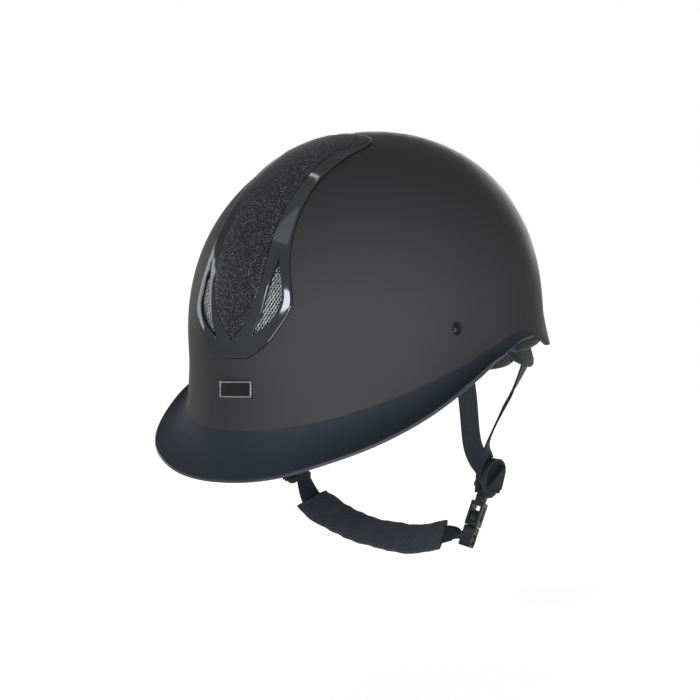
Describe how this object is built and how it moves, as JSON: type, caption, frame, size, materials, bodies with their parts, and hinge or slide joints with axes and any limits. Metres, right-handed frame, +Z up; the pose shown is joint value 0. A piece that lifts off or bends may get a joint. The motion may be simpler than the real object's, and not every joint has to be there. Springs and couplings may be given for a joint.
{
  "type": "riding helmet",
  "caption": "Open-faced riding helmet: domed shell with a wide sweeping brim, gloss front panel with meshed vents, padded liner and a four-point chin harness with buckle.",
  "frame": {"origin": "centre of the head opening, level with the shell's widest ring", "axes": "+Z up to the crown, -Y to the front, +X to the wearer's left"},
  "size_m": [0.2362, 0.2979, 0.2837],
  "materials": {
    "shell": "matte painted polymer, near-black",
    "brim": "matte navy-black",
    "liner": "closed-cell foam, black",
    "panel": "black chrome",
    "glitter": "clear-coated black with fine silver flakes",
    "mesh": "silver",
    "trim": "thin silver rim",
    "black": "gloss black",
    "rivet": "satin black",
    "steel": "plain",
    "pad": "knitted cover over foam",
    "lining": "smooth synthetic leather over foam",
    "weave": "coarse woven",
    "frame": "moulded, black",
    "webbing": "flat woven webbing, navy-black",
    "buckle": "satin black acetal",
    "cover": "soft cover, navy-black"
  },
  "bodies": {
    "helmet": {"outer_shell": "shell", "brim": "brim", "impact_liner": "liner", "front_panel": "panel", "glitter_insert": "glitter", "vent_mesh_left": "mesh", "vent_mesh_right": "mesh", "badge_rim": "trim", "badge_plate": "black", "side_rivets": "rivet", "rivet_washers": "steel", "crown_pad": "pad", "brow_pad": "pad", "side_pad_left": "pad", "side_pad_right": "pad", "nape_lining": "lining", "nape_flap_left": "weave", "nape_flap_right": "weave", "nape_cradle": "frame", "nape_pad": "pad", "dial_housing": "frame", "front_strap_left": "webbing", "front_strap_right": "webbing", "rear_strap_left": "webbing", "rear_strap_right": "webbing", "divider_left": "buckle", "divider_right": "buckle", "socket_web": "webbing", "buckle_socket": "buckle"},
    "dial_wheel": {"dial": "frame"},
    "adjuster_left": {"band_left": "frame"},
    "adjuster_right": {"band_right": "frame"},
    "lever_l": {"lever_left": "buckle"},
    "lever_r": {"lever_right": "buckle"},
    "chin_assembly": {"chin_strap": "webbing", "chin_pad": "cover", "buckle_plug": "buckle"},
    "prong_f": {"prong_front": "buckle"},
    "prong_r": {"prong_rear": "buckle"}
  },
  "joints": [
    {"name": "chin_strap_swing", "type": "hinge", "parent": "helmet", "child": "chin_assembly", "pos_m": [-0.07752, 0.00749, -0.10314], "axis": [-0.0505, 0.918, -0.3934], "range_deg": [0, 36], "deforming": ["prong_front", "prong_rear"]},
    {"name": "prong_front_squeeze", "type": "hinge", "parent": "chin_assembly", "child": "prong_f", "pos_m": [0.07235, -0.00296, -0.13352], "axis": [-0.8742, -0.336, 0.3505], "range_deg": [0, 8], "stiffness_Nm_per_rad": 0.02},
    {"name": "prong_rear_squeeze", "type": "hinge", "parent": "chin_assembly", "child": "prong_r", "pos_m": [0.06734, 0.00678, -0.13666], "axis": [0.8742, 0.336, -0.3505], "range_deg": [0, 8], "stiffness_Nm_per_rad": 0.02},
    {"name": "lever_left_flip", "type": "hinge", "parent": "helmet", "child": "lever_l", "pos_m": [0.08766, 0.00488, -0.11018], "axis": [0.1045, 0.9945, 0], "range_deg": [0, 70]},
    {"name": "lever_right_flip", "type": "hinge", "parent": "helmet", "child": "lever_r", "pos_m": [-0.08816, 0.00738, -0.10738], "axis": [0.1045, -0.9945, 0], "range_deg": [0, 70]},
    {"name": "dial_turn", "type": "hinge", "parent": "helmet", "child": "dial_wheel", "pos_m": [0, 0.12333, -0.036], "axis": [0, 1, 0], "range_deg": [-15, 75]},
    {"name": "band_left_slide", "type": "slide", "parent": "helmet", "child": "adjuster_left", "axis": [-1, 0, 0], "range_m": [-0.0013, 0.0062]},
    {"name": "band_right_slide", "type": "slide", "parent": "helmet", "child": "adjuster_right", "axis": [1, 0, 0], "range_m": [-0.0013, 0.0062]}
  ],
  "couplings": [
    {"joint": "prong_rear_squeeze", "follows": "prong_front_squeeze", "ratio": 1},
    {"joint": "band_left_slide", "follows": "dial_turn", "m_per_rad": 0.0046},
    {"joint": "band_right_slide", "follows": "dial_turn", "m_per_rad": 0.0046}
  ]
}
